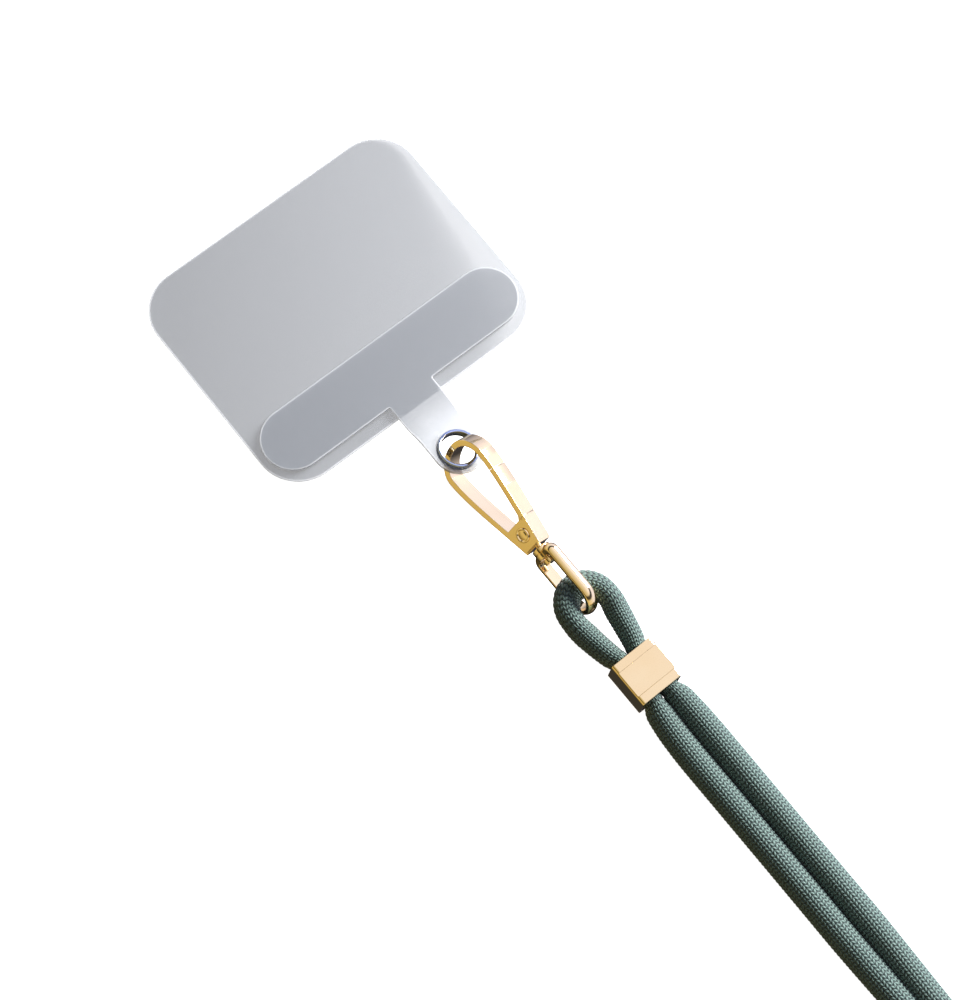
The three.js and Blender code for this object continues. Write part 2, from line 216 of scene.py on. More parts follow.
# a plate: each loop's edge is rounded over from the lower to the upper face, and both faces
# are filled; loops run anticlockwise round the plate and clockwise round a hole
def plateShell(loops, low, high, rounding, rim=0.35, inner=None, inHole=None):
    angles = np.radians(np.linspace(-90, 90, 7))
    insets = np.concatenate([[rim], rounding * (1 - np.cos(angles)), [rim]])
    heights = np.concatenate([[low], np.where(angles < 0, low + rounding, high - rounding)
                              + rounding * np.sin(angles), [high]])
    rows, points, faces, fillLoops, start = len(insets), [], [], [], 0
    for loop in loops:
        ring = np.stack([np.column_stack([insetLoop(loop, inset), np.full(len(loop), height)])
                         for inset, height in zip(insets, heights)])
        points.append(ring.reshape(-1, 3))
        faces.append(gridCells(rows, len(loop), False, True) + start)
        fillLoops.append((start, len(loop)))
        start += rows * len(loop)
    flat = np.concatenate([points[i][:count, :2] for i, (_, count) in enumerate(fillLoops)])
    lower = np.concatenate([np.arange(first, first + count) for first, count in fillLoops])
    upper = np.concatenate([np.arange(first + (rows - 1) * count, first + rows * count)
                            for first, count in fillLoops])
    edge = np.concatenate([np.tile((np.arange(rows)[:, None] % (rows - 1) > 0), (1, count)).ravel()
                           for _, count in fillLoops]).astype(float)
    sides, at = [], 0
    for _, count in fillLoops:
        here = np.arange(count)
        sides += [(int(a), int(b)) for a, b in zip(at + here, at + (here + 1) % count)]
        at += count
    if inner is not None:
        flat = np.concatenate([flat, inner])
        lower = np.concatenate([lower, start + np.arange(len(inner))])
        upper = np.concatenate([upper, start + len(inner) + np.arange(len(inner))])
        points += [np.column_stack([inner, np.full(len(inner), low)]),
                   np.column_stack([inner, np.full(len(inner), high)])]
        edge = np.concatenate([edge, np.zeros(2 * len(inner))])
    corners, _, triangles, origins, _, _ = delaunay_2d_cdt(
        [Vector(p) for p in flat], sides, [], 1, 1e-6)
    source = np.array([origin[0] for origin in origins])
    triangles = source[np.array(triangles)]
    if inHole is not None:
        triangles = triangles[~inHole(flat[triangles].mean(1))]
    faces += [lower[triangles[:, ::-1]], upper[triangles]]
    return (np.concatenate(points), faces), edge


# materials: each reads object coordinates, in metres, or the rope's own map
def startMaterial(name):
    material = bpy.data.materials.new(name)
    material.use_nodes = True
    nodes, links = material.node_tree.nodes, material.node_tree.links
    return material, nodes, links, nodes["Principled BSDF"]


def noiseOf(nodes, links, scale, detail=3.0, stretch=(1, 1, 1)):
    place = nodes.new("ShaderNodeTexCoord")
    mapping = nodes.new("ShaderNodeMapping")
    mapping.inputs["Scale"].default_value = stretch
    noise = nodes.new("ShaderNodeTexNoise")
    noise.inputs["Scale"].default_value = scale
    noise.inputs["Detail"].default_value = detail
    links.new(place.outputs["Object"], mapping.inputs["Vector"])
    links.new(mapping.outputs["Vector"], noise.inputs["Vector"])
    return noise.outputs["Fac"]


def ramp(nodes, links, source, stops):
    node = nodes.new("ShaderNodeValToRGB")
    while len(node.color_ramp.elements) < len(stops):
        node.color_ramp.elements.new(0.5)
    for element, (position, colour) in zip(node.color_ramp.elements, stops):
        element.position, element.color = position, (*colour, 1)
    links.new(source, node.inputs["Fac"])
    return node.outputs["Color"]


def spread(nodes, links, source, low, high, start=0.0, end=1.0):
    node = nodes.new("ShaderNodeMapRange")
    node.inputs["From Min"].default_value = start
    node.inputs["From Max"].default_value = end
    node.inputs["To Min"].default_value = low
    node.inputs["To Max"].default_value = high
    links.new(source, node.inputs["Value"])
    return node.outputs["Result"]


def bumpOf(nodes, links, source, shader, distance, strength):
    bump = nodes.new("ShaderNodeBump")
    bump.inputs["Distance"].default_value = distance
    bump.inputs["Strength"].default_value = strength
    links.new(source, bump.inputs["Height"])
    links.new(bump.outputs["Normal"], shader.inputs["Normal"])


def metal(name, finish):
    material, nodes, links, shader = startMaterial(name)
    shader.inputs["Metallic"].default_value = 1
    wide = noiseOf(nodes, links, finish["cloudScale"])
    fine = noiseOf(nodes, links, finish["grainScale"], 2)
    links.new(ramp(nodes, links, wide, [(0.35, finish["colour"]), (0.7, finish["worn"])]),
              shader.inputs["Base Color"])
    links.new(spread(nodes, links, fine, *finish["roughness"]), shader.inputs["Roughness"])
    bumpOf(nodes, links, fine, shader, finish["grainHeight"], finish["grain"])
    return material


goldFinish = {
    "colour": (0.88, 0.66, 0.33), "worn": (0.86, 0.62, 0.29),
    "roughness": (0.07, 0.14), "cloudScale": 120, "grainScale": 4000, "grain": 0.08,
    "grainHeight": 0.00001,
}
steelFinish = {
    "colour": (0.44, 0.49, 0.58), "worn": (0.38, 0.43, 0.52),
    "roughness": (0.08, 0.16), "cloudScale": 200, "grainScale": 4000, "grain": 0.08,
    "grainHeight": 0.00001,
}


# clear plastic, with painted shade and a painted reflection: a little greyer on its left and paler to
# the right, with painted highlights along its edges; the painted shade fades along the way set below,
# over the reach set below on each side of the patch's middle
paintedReflectionWay, paintedReflectionReach, cloudSpread = (0.62, 0.78, 0), 0.026, 0.08


def plastic(name, finish):
    material, nodes, links, shader = startMaterial(name)
    edge = nodes.new("ShaderNodeAttribute")
    edge.attribute_name = "edge"
    place = nodes.new("ShaderNodeTexCoord")
    slant = nodes.new("ShaderNodeVectorMath")
    slant.operation = "DOT_PRODUCT"
    slant.inputs[1].default_value = paintedReflectionWay
    links.new(place.outputs["Object"], slant.inputs[0])
    middle = boxCentre("patch_sheet")[0] * paintedReflectionWay[0]
    # painted reflection: colour and see-through share go from the greyer left to the paler right
    paintedReflectionRightwards = spread(nodes, links, slant.outputs["Value"], 0, 1, middle - paintedReflectionReach,
                        middle + paintedReflectionReach)
    cloud = spread(nodes, links, noiseOf(nodes, links, finish["cloudScale"]), -cloudSpread,
                   cloudSpread)
    body = ramp(nodes, links, math2(nodes, links, "ADD", paintedReflectionRightwards, cloud),
                [(0.0, finish["colour"]), (1.0, finish["light"])])
    # painted highlight: the rounded edges take a near-white colour
    mix = nodes.new("ShaderNodeMix")
    mix.data_type = "RGBA"
    links.new(edge.outputs["Fac"], mix.inputs["Factor"])
    links.new(body, mix.inputs[6])
    mix.inputs[7].default_value = (*finish["paintedEdgeHighlight"], 1)
    links.new(mix.outputs[2], shader.inputs["Base Color"])
    links.new(spread(nodes, links, paintedReflectionRightwards, *finish["alpha"]), shader.inputs["Alpha"])
    fine = noiseOf(nodes, links, finish["grainScale"], 2)
    links.new(spread(nodes, links, fine, *finish["roughness"]), shader.inputs["Roughness"])
    bumpOf(nodes, links, fine, shader, finish["grainHeight"], finish["grain"])
    return material


# colour to light is the painted shade and painted reflection across the plastic; the near-white edge
# colour is a painted highlight
filmFinish = {
    "colour": (0.17, 0.185, 0.20), "light": (0.28, 0.30, 0.32), "alpha": (0.52, 0.46),
    "paintedEdgeHighlight": (0.9, 0.92, 0.94),
    "roughness": (0.10, 0.18), "cloudScale": 30, "grainScale": 900, "grain": 0.05,
    "grainHeight": 0.00002,
}
tabFinish = {
    "colour": (0.33, 0.35, 0.375), "light": (0.42, 0.44, 0.465), "alpha": (0.58, 0.54),
    "paintedEdgeHighlight": (0.9, 0.92, 0.94),
    "roughness": (0.25, 0.4), "cloudScale": 60, "grainScale": 1500, "grain": 0.1,
    "grainHeight": 0.00002,
}


# the patch: a thin film with round corners, drawn in the patch's own plane
patch = {
    "width": 52.8, "length": 43.4, "corner": 7.6, "thickness": 0.35, "near": 10.1, "rounding": 0.1,
    "turn": -1.2,
}
tab = {
    "span": 50.4, "stripWidth": 10.9, "neckWidth": 8.7, "neckReach": 12.4, "thickness": 0.6,
    "gap": 0.15, "endRadius": 4.4, "hole": 3.25, "rounding": 0.12, "rim": 0.3, "innerCorner": 0.25,
    "twist": 14.0, "twistStarts": 8.8, "twistEnds": 3.8,
    "gridX": (-12.2, -4.4), "gridY": (-3.6, 3.6), "holeMargin": 0.8, "holeEdge": 0.25,
}
tabMiddle = patch["thickness"] + tab["gap"] + tab["thickness"] / 2


# from the patch's plane, turned a little and sloping down from the eyelet, to the strap's place
def onSlope(points):
    turn = math.radians(patch["turn"])
    x = points[..., 0] * math.cos(turn) - points[..., 1] * math.sin(turn)
    y = points[..., 0] * math.sin(turn) + points[..., 1] * math.cos(turn)
    z = points[..., 2] - tabMiddle
    return np.stack([x * math.cos(patchSlope) - z * math.sin(patchSlope), y,
                     eyeletHeight + x * math.sin(patchSlope) + z * math.cos(patchSlope)], -1)


# the neck turns about its length by a smooth step
def twisted(points):
    way = np.clip((points[..., 0] + tab["twistStarts"]) / (tab["twistStarts"] - tab["twistEnds"]), 0, 1)
    turn = -math.radians(tab["twist"]) * way * way * (3 - 2 * way)
    y, z = points[..., 1], points[..., 2] - tabMiddle
    return np.stack([points[..., 0], y * np.cos(turn) - z * np.sin(turn),
                     tabMiddle + y * np.sin(turn) + z * np.cos(turn)], -1)


def roundedRectangle(x0, x1, y0, y1, radius, count):
    return np.concatenate([
        arc(x1 - radius, y0 + radius, radius, radius, -90, 0, count),
        arc(x1 - radius, y1 - radius, radius, radius, 0, 90, count),
        arc(x0 + radius, y1 - radius, radius, radius, 90, 180, count),
        arc(x0 + radius, y0 + radius, radius, radius, 180, 270, count)])


def makePatch():
    half = patch["width"] / 2
    outline = roundedRectangle(-patch["near"] - patch["length"], -patch["near"], -half, half,
                               patch["corner"], 16)
    (points, faces), edge = plateShell([outline], 0, patch["thickness"], patch["rounding"])
    piece = makeMesh("patch_film", [(onSlope(points), faces)], edge=edge)
    finishPiece(piece, plastic("clear film", filmFinish), "clear_film", "hook", "patch_sheet")


def makeTab():
    end, half = tab["stripWidth"] / 2, tab["neckWidth"] / 2
    middle, side = -tab["neckReach"] - end, tab["span"] / 2 - end
    corner = tab["innerCorner"]
    neckX = np.linspace(-tab["neckReach"] + corner, -0.3, 30)
    right = np.column_stack([neckX, np.interp(neckX, (-tab["twistStarts"], -tab["twistEnds"]),
                                              (half, tab["endRadius"]))])
    outline = np.concatenate([
        arc(middle, -side, end, end, 180, 360, 30),
        arc(-tab["neckReach"] + corner, -half - corner, corner, corner, 180, 90, 4)[:-1],
        right * (1, -1),
        arc(0, 0, tab["endRadius"], tab["endRadius"], -90, 90, 45),
        right[::-1],
        arc(-tab["neckReach"] + corner, half + corner, corner, corner, 270, 180, 4)[1:],
        arc(middle, side, end, end, 0, 180, 30)])
    hole = arc(0, 0, tab["hole"], tab["hole"], 360, 0, 49)[:-1]
    x, y = np.meshgrid(np.linspace(*tab["gridX"], 20), np.linspace(*tab["gridY"], 9))
    inner = np.column_stack([x.ravel(), y.ravel()])
    inner = inner[np.hypot(*inner.T) > tab["hole"] + tab["holeMargin"]]
    low = tabMiddle - tab["thickness"] / 2
    (points, faces), edge = plateShell(
        [outline, hole], low, low + tab["thickness"], tab["rounding"], tab["rim"], inner,
        lambda centres: np.hypot(*centres.T) < tab["hole"] + tab["holeEdge"])
    piece = makeMesh("frosted_tab", [(onSlope(twisted(points)), faces)], edge=edge)
    finishPiece(piece, plastic("frosted tab", tabFinish), "tab_plastic", "hook", "tab_strip")


# the eyelet: a thin barrel whose two ends are rolled outwards over the tab, as one closed
# loop of radius and height turned about the eyelet's axis
eyelet = {"bore": 2.85, "wall": 0.25, "flange": 0.35, "rim": 0.3, "inner": 0.475}


def makeEyelet():
    bore, barrel = eyelet["bore"], eyelet["bore"] + eyelet["wall"]
    rim, low, high = barrel + eyelet["flange"], eyelet["inner"], eyelet["inner"] + eyelet["rim"]
    roll = arc((bore + rim) / 2, low, (rim - bore) / 2, high - low, 0, 180, 13)
    loop = np.concatenate([[(barrel, -low), (barrel, low)], roll, roll[::-1] * (1, -1)])
    angle = np.linspace(0, 2 * math.pi, 72, endpoint=False)[:, None]
    points = np.stack([loop[:, 0] * np.cos(angle), loop[:, 0] * np.sin(angle),
                       tabMiddle + loop[:, 1] + 0 * angle], -1)
    piece = makeMesh("eyelet_ring", [gridShell(onSlope(twisted(points)), closeRows=True)])
    finishPiece(piece, metal("polished steel", steelFinish), "eyelet_steel", "hook", "eyelet")


# snap hook: a teardrop of flat strip in the hook's own plane
hook = {
    "reach": 1.0, "halfWidth": 4.82, "round": 4.3, "skew": 0.95, "length": 21.5, "endHalfWidth": 1.87,
    "strip": 1.07, "depth": 3.1, "bodyLength": 4.9, "gateLength": 10.9, "edge": 0.1,
    "tongue": 1.4, "tongueRadius": 1.1, "slotLeft": 1.5, "slotRight": 1.65, "slotGap": 0.12,
    "cut": 0.06, "rivetFromEnd": 2.75, "rivetSide": 0.24, "rivetHead": 1.3, "rivetHeight": 0.3,
    "slotBefore": 0.25, "slotCorner": 0.3, "postEdge": 0.1, "postChamfer": 0.22,
}
hookEnd = hook["length"] - hook["reach"]
hookTop = hook["round"] - hook["reach"]
bodyStart = hookEnd - hook["bodyLength"]
rivetX = hookEnd - hook["rivetFromEnd"]
gateReach = math.hypot(hook["gateLength"], hook["halfWidth"] - hook["strip"] / 2)


def bezier(a, b, c, d, t):
    return a * (1 - t) ** 3 + 3 * b * t * (1 - t) ** 2 + 3 * c * t * t * (1 - t) + d * t ** 3


# the outline drawn inward by an inset: right leg for way 0 to 1, a quarter ellipse to 2 and
# another to 3, left leg to 4 and the straight end to 5
def teardrop(inset, way):
    reach, wide, end = hook["round"] - inset, hook["halfWidth"] - inset, hook["endHalfWidth"] - inset
    span, way = hookEnd - hookTop, way % 5
    firstX, secondX = hookTop + span * 0.5, hookTop + span * 0.2
    bow = end + (wide - end) * 0.62
    part = np.clip(way, 0, 1)
    rightX = bezier(hookEnd, firstX, secondX, hookTop, part)
    rightY = bezier(end, bow, wide, wide, part)
    angle = np.pi / 2 * way
    arcX = hookTop + reach * np.cos(angle)
    arcY = hook["skew"] + np.where(way < 2, wide - hook["skew"], wide + hook["skew"]) * np.sin(angle)
    part = np.clip(way - 3, 0, 1)
    leftX = bezier(hookTop, secondX, firstX, hookEnd, part)
    leftY = -bezier(wide, wide, bow, end, part)
    endY = end * (2 * np.clip(way - 4, 0, 1) - 1)
    x = np.select([way < 1, way < 3, way < 4], [rightX, arcX, leftX], hookEnd)
    y = np.select([way < 1, way < 3, way < 4], [rightY, arcY, leftY], endY)
    return np.minimum(x, hookEnd - inset * (inset < hook["strip"] / 2)), y


# the way at which a leg reaches a place along the hook
def wayAt(inset, x, left=False):
    way = np.linspace(3, 4, 200) if left else np.linspace(1, 0, 200)
    return np.interp(x, teardrop(inset, way)[0], way)


# the way at which the right leg is a given distance from the rivet
def wayOfBreak(inset, distance):
    way = np.linspace(0.3, 1, 300)
    x, y = teardrop(inset, way)
    return np.interp(distance, np.hypot(x - rivetX, y - hook["rivetSide"]), way)


# the strip's section as inset and depth, with its four edges rounded
def stripSection(strip, depth, edge, faceSteps=3):
    high, step = depth / 2, np.linspace(0, 1, faceSteps + 1)[1:-1]
    front = np.concatenate([
        arc(edge, high - edge, edge, edge, 180, 90, 5),
        np.column_stack([edge + (strip - 2 * edge) * step, np.full(len(step), high)]),
        arc(strip - edge, high - edge, edge, edge, 90, 0, 5)])
    return np.concatenate([front, front[::-1] * (1, -1)])


# rows of the strip from one way to another; each column keeps its own knots
def stripRows(section, knots, counts):
    seat = np.concatenate([np.full(n, i) for i, n in enumerate(counts)] + [[len(counts) - 1]])
    share = np.concatenate([np.arange(n) / n for n in counts] + [[1.0]])
    way = knots[:, seat] + (knots[:, seat + 1] - knots[:, seat]) * share
    inset = section[:, :1]
    x, y = teardrop(inset, way)
    inside = section[:, 0] > hook["strip"] / 2
    floor = bodyStart + hook["strip"] - section[:, 0]
    right = np.array([5 + wayAt(i, f) for i, f in zip(section[:, 0], floor)])
    left = np.array([wayAt(i, f, True) for i, f in zip(section[:, 0], floor)])
    rightY, leftY = teardrop(section[:, 0], right)[1], teardrop(section[:, 0], left)[1]
    below = inside[:, None] & (way >= left[:, None] - 1e-9)
    across = (way - left[:, None]) / (right - left)[:, None]
    x = np.where(below, floor[:, None], x)
    y = np.where(below, leftY[:, None] + (rightY - leftY)[:, None] * across, y)
    points = np.stack([x, y, np.broadcast_to(section[:, 1:], x.shape)], -1)
    return points.transpose(1, 0, 2)


# rings about X, as place along X and radius
def latheAlongX(profile, sides):
    angle = np.linspace(0, 2 * math.pi, sides, endpoint=False)
    x, radius = profile[:, :1], profile[:, 1:]
    return np.stack([x + 0 * angle, radius * np.cos(angle), radius * np.sin(angle)], -1)


swivel = {
    "post": 0.6, "head": 1.15, "headLength": 0.9, "barrel": 1.6, "barrelLength": 1.9,
    "length": 13.1, "height": 7.6, "strip": 1.1, "width": 2.0, "base": 1.5, "nearRound": 1.7,
    "edge": 0.12, "dome": 0.38, "flatHalf": 0.8,
    "barrelEdge": 0.2, "grooveStart": 0.8, "grooveEnd": 1.06, "grooveSide": 0.06, "grooveDepth": 0.12,
    "join": 0.05,
}
ringStart = hookEnd + clearance + swivel["barrelLength"] - swivel["base"]
ringEnd = ringStart + swivel["length"]


def makeHook(gold):
    section = stripSection(hook["strip"], hook["depth"], hook["edge"], 6)
    insets = section[:, 0]
    nose = np.array([wayOfBreak(i, gateReach + hook["cut"]) for i in insets])
    inside = insets > hook["strip"] / 2
    shoulder = np.array([5 + wayAt(i, bodyStart + (hook["strip"] - i) * n)
                         for i, n in zip(insets, inside)])
    knots = np.stack([shoulder, 0 * insets + 5, 0 * insets + 4, 0 * insets + 3,
                      0 * insets + 2, 0 * insets + 1, nose], -1)
    rows = stripRows(section, knots, [14, 10, 50, 28, 28, 20])
    body = makeMesh("snap_hook", [gridShell(inHook(rows))])
    slotHalf = hook["tongue"] / 2 + hook["slotGap"]
    slot = roundedRectangle(bodyStart - hook["slotBefore"], rivetX + hook["tongueRadius"] + clearance,
                            -hook["slotLeft"], hook["slotRight"], hook["slotCorner"], 5)
    (points, faces), _ = plateShell([slot], -slotHalf, slotHalf, 0.02, 0.1)
    joined(body, makeMesh("slot", [(inHook(points), faces)]), "DIFFERENCE")

    headStart = ringStart + swivel["base"] + clearance
    headEnd = headStart + swivel["headLength"]
    edge, chamfer = hook["postEdge"], hook["postChamfer"]
    profile = np.array([
        (hookEnd, swivel["post"]), (headStart, swivel["post"]), (headStart, swivel["head"] - edge),
        (headStart + edge, swivel["head"]), (headEnd - chamfer, swivel["head"]),
        (headEnd - chamfer / 3, swivel["head"] - chamfer / 3), (headEnd, swivel["head"] - chamfer)])
    post = makeMesh("swivel_post", [gridShell(inHook(latheAlongX(profile, 32)))])
    finishPiece(body, gold, "gold_metal", "hook", "hook_body")
    finishPiece(post, gold, "gold_metal", "hook", "hook_body")


def makeGate(gold):
    section = stripSection(hook["strip"], hook["depth"], hook["edge"], 3)
    insets = section[:, 0]
    legEnd = bodyStart - hook["cut"]
    tip = np.array([wayOfBreak(i, gateReach) for i in insets])
    root = np.array([wayAt(i, legEnd) for i in insets])
    rows = stripRows(section, np.stack([root, tip], -1), [50])
    leg = makeMesh("hook_gate_leg", [gridShell(inHook(rows))])
    strip, radius = hook["strip"], hook["tongueRadius"]
    middle = hook["endHalfWidth"] + strip / 4
    tongue = np.concatenate([
        [(legEnd - 2 * strip, middle + strip / 2), (legEnd - strip / 2, middle - strip)],
        [(rivetX - radius / 2, hook["rivetSide"] - radius)],
        arc(rivetX, hook["rivetSide"], radius, radius, 270, 450, 24),
        [(legEnd, hook["slotRight"] - clearance), (legEnd - strip / 4, middle + strip / 2)]])
    (points, faces), _ = plateShell([tongue], -hook["tongue"] / 2, hook["tongue"] / 2, 0.04, 0.15)
    joined(leg, makeMesh("tongue", [(inHook(points), faces)]), "UNION")
    finishPiece(leg, gold, "gold_metal", "gate", "hook_gate")


# rivet heads: a rolled rim, a groove and a low dome, on both faces of the hook
def makeRivet(gold):
    radius, height = hook["rivetHead"], hook["rivetHeight"]
    profile = np.array([
        (1.0, -0.5), (1.0, 0.35), (0.97, 0.75), (0.9, 0.95), (0.82, 0.98), (0.76, 0.85), (0.72, 0.45),
        (0.66, 0.2), (0.6, 0.25), (0.5, 0.45), (0.35, 0.6), (0.15, 0.68)])
    angle = np.linspace(0, 2 * math.pi, 40, endpoint=False)
    face = hook["depth"] / 2
    shells = []
    for side in (1, -1):
        ring = profile[:, :1] * radius
        points = np.stack([rivetX + ring * np.cos(angle), hook["rivetSide"] + ring * np.sin(angle),
                           side * (face + profile[:, 1:] * height) + 0 * angle], -1)
        shells.append(gridShell(inHook(points)))
    piece = makeMesh("rivet_heads", shells, 60)
    finishPiece(piece, gold, "gold_metal", "hook", "gate_rivet")


# the ring's outline in X and Z: straight sides, a round far end and two near corners
def eyeOutline(x0, x1, high, nearRound):
    lines = np.linspace(0, 1, 12)[1:-1, None]
    near, far = np.array([x0 + nearRound, high]), np.array([x1 - high, high])
    return np.concatenate([
        (near + (far - near) * lines) * (1, -1), arc(x1 - high, 0, high, high, -90, 90, 40),
        far + (near - far) * lines,
        arc(x0 + nearRound, high - nearRound, nearRound, nearRound, 90, 180, 14),
        arc(x0 + nearRound, nearRound - high, nearRound, nearRound, 180, 270, 14)])


def makeRing(gold):
    half, strip = swivel["height"] / 2, swivel["strip"]
    outer = eyeOutline(ringStart, ringEnd, half, swivel["nearRound"])[:, None]
    inner = eyeOutline(ringStart + swivel["base"], ringEnd - strip, half - strip,
                       swivel["nearRound"] - strip)[:, None]
    section = stripSection(strip, swivel["width"], swivel["edge"])
    section = np.concatenate([section, [(0, depth) for depth in np.linspace(
        -swivel["flatHalf"], swivel["flatHalf"], 9)]])
    bow = (2 * section[:, 1] / swivel["width"]) ** 2  # the outer face bows out across the strip
    section[:, 0] += swivel["dome"] * bow * (1 - section[:, 0] / strip)
    flat = outer + (inner - outer) * (section[:, :1] / strip)
    points = np.stack([flat[..., 0], section[:, 1] + 0 * flat[..., 0], flat[..., 1]], -1)
    ring = makeMesh("swivel_eye", [gridShell(inRing(points), closeRows=True)])
    start, end, join = hookEnd + clearance, ringStart + swivel["base"], swivel["join"]
    radius, edge, low = swivel["barrel"], swivel["barrelEdge"], swivel["barrel"] - swivel["grooveDepth"]
    groove, side = start + np.array([swivel["grooveStart"], swivel["grooveEnd"]]), swivel["grooveSide"]
    bore = swivel["post"] + clearance / 2
    profile = np.concatenate([
        [(start, bore)], arc(start + edge, radius - edge, edge, edge, 180, 90, 6),
        [(groove[0], radius), (groove[0] + side, low), (groove[1] - side, low), (groove[1], radius)],
        arc(end - edge, radius - edge, edge, edge, 90, 0, 6) + (join, 0), [(end + join, bore)]])
    barrel = makeMesh("barrel", [gridShell(inRing(latheAlongX(profile, 56).transpose(1, 0, 2)),
                                           closeRows=True)])
    joined(ring, barrel, "UNION")
    finishPiece(ring, gold, "gold_metal", "strap", "swivel_ring")


# sleeve: a closed wall round both strands; its outline moves in by the section's inset
sleeve = {
    "fromRing": 8.9, "length": 7.9, "width": 8.1, "height": 6.9, "wall": 0.45, "corner": 0.6,
    "edge": 0.12, "plateRise": 0.3, "plateEndMargin": 1.5, "plateSideMargin": 0.15,
    "plateEdge": 0.08,
}
sleeveStart = ringEnd + sleeve["fromRing"]
sleeveEnd = sleeveStart + sleeve["length"]


def makeSleeve(gold):
    half, high, wall = sleeve["width"] / 2, sleeve["height"], sleeve["wall"]
    section = stripSection(wall, sleeve["length"], sleeve["edge"])
    outlines = np.stack([
        roundedRectangle(-half + i, half - i, i, high - i, sleeve["corner"] - i / 2, 10)
        for i in section[:, 0]], 1)
    middle = (sleeveStart + sleeveEnd) / 2
    points = np.stack([middle + section[:, 1] + 0 * outlines[..., 0], outlines[..., 0],
                       outlines[..., 1]], -1)
    reach, side = sleeve["length"] / 2 - sleeve["plateEndMargin"], half - sleeve["plateSideMargin"]
    plate = roundedRectangle(middle - reach, middle + reach, -side, side, wall / 2, 6)
    edge = sleeve["plateEdge"]
    (platePoints, faces), _ = plateShell([plate], high - wall / 2, high + sleeve["plateRise"],
                                         edge, 2 * edge)
    tube = makeMesh("rope_sleeve", [gridShell(points, closeRows=True)])
    joined(tube, makeMesh("plate", [(platePoints, faces)]), "UNION")
    finishPiece(tube, gold, "gold_metal", "strap", "sleeve")


# rope: half of its route, from the bend in the ring to the far end of the loop
rope = {
    "radius": 2.5, "legs": 28, "pitch": 0.7, "slant": 0.55, "relief": 0.24,
    "columnGroove": 1.7, "crossGroove": 0.9, "bendFromRing": 1.5, "nearSteps": 4, "farSteps": 2,
    "together": 90.0, "loopLength": 420.0, "loopHalfWidth": 118.0,
}
radius = rope["radius"]
sideBySide = radius - 0.06  # the two strands touch
inSleeve = sleeve["width"] / 4 - sleeve["wall"] / 2 - clearance / 4
sleeveMiddle = sleeve["height"] / 2
ringGrip = swivel["width"] / 2 + 2 * clearance + 0.8 * radius
bendX = ringEnd - swivel["strip"] - rope["bendFromRing"] - 0.95 * radius
parted = sleeveEnd + rope["together"]
long, wide = rope["loopLength"], rope["loopHalfWidth"]
ropeRoute = np.array([
    # x, y, z, and the section's half width and half height as shares of the radius
    [bendX, 0, swivelHeight, 0.95, 0.82],
    [bendX + 0.2 * radius, 0.68 * radius, swivelHeight, 0.92, 0.84],
    [bendX + 0.84 * radius, 1.24 * radius, swivelHeight - 0.04 * radius, 0.86, 0.96],
    [ringEnd - 0.16 * radius, ringGrip, swivelHeight - 0.12 * radius, 0.8, 1.02],
    [ringEnd + 0.88 * radius, 1.3 * radius, sleeveMiddle + 0.12 * radius, 0.85, 1.04],
    [sleeveStart - 0.64 * radius, 0.9 * radius, sleeveMiddle, 0.76, 1.06],
    [sleeveStart - 0.16 * radius, inSleeve + 0.02 * radius, sleeveMiddle, 0.67, 1.05],
    [sleeveStart + 0.32 * radius, inSleeve, sleeveMiddle, 0.66, 1.05],
    [sleeveEnd - 0.32 * radius, inSleeve, sleeveMiddle, 0.66, 1.05],
    [sleeveEnd + 0.16 * radius, inSleeve + 0.02 * radius, sleeveMiddle, 0.67, 1.05],
    [sleeveEnd + 0.88 * radius, 0.84 * radius, sleeveMiddle - 0.08 * radius, 0.9, 1.02],
    [sleeveEnd + 2.2 * radius, 0.93 * radius, 1.12 * radius, 0.97, 1],
    [sleeveEnd + 4 * radius, sideBySide, 1.01 * radius, 1, 1],
    [sleeveEnd + 8 * radius, sideBySide, radius, 1, 1],
    [parted - 18 * radius, sideBySide, radius, 1, 1],
    [parted, sideBySide + 0.16 * radius, radius, 1, 1],
    [parted + 0.11 * long, 0.11 * wide, radius, 1, 1],
    [parted + 0.27 * long, 0.42 * wide, radius, 1, 1],
    [parted + 0.45 * long, 0.78 * wide, radius, 1, 1],
    [parted + 0.65 * long, wide, radius, 1, 1],
    [parted + 0.84 * long, 0.84 * wide, radius, 1, 1],
    [parted + 0.96 * long, 0.45 * wide, radius, 1, 1],
    [parted + long, 0, radius, 1, 1],
])
partedRow = 15


# centripetal Catmull-Rom: a cubic between each two rows, whose slopes weigh the spans beside
# it by the square root of their lengths; the mirrored rows carry on past both ends
def routePoints(steps):
    mirror = ropeRoute[:, :3] * (1, -1, 1)
    rows = np.concatenate([mirror[1:2], ropeRoute[:, :3], mirror[-2:-1]])
    before, start, end, after = rows[:-3, None], rows[1:-2, None], rows[2:-1, None], rows[3:, None]
    spans = [np.sqrt(np.linalg.norm(b - a, axis=-1, keepdims=True))
             for a, b in ((before, start), (start, end), (end, after))]
    slopeIn = ((start - before) / spans[0] - (end - before) / (spans[0] + spans[1])
               + (end - start) / spans[1]) * spans[1]
    slopeOut = ((end - start) / spans[1] - (after - start) / (spans[1] + spans[2])
                + (after - end) / spans[2]) * spans[1]
    t = np.linspace(0, 1, steps, endpoint=False)[None, :, None]
    places = (start + slopeIn * t + (3 * (end - start) - 2 * slopeIn - slopeOut) * t ** 2
              + (2 * (start - end) + slopeIn + slopeOut) * t ** 3)
    shares = ropeRoute[:-1, None, 3:] * (1 - t) + ropeRoute[1:, None, 3:] * t
    return (np.concatenate([places.reshape(-1, 3), ropeRoute[-1:, :3]]),
            np.concatenate([shares.reshape(-1, 2), ropeRoute[-1:, 3:]]))


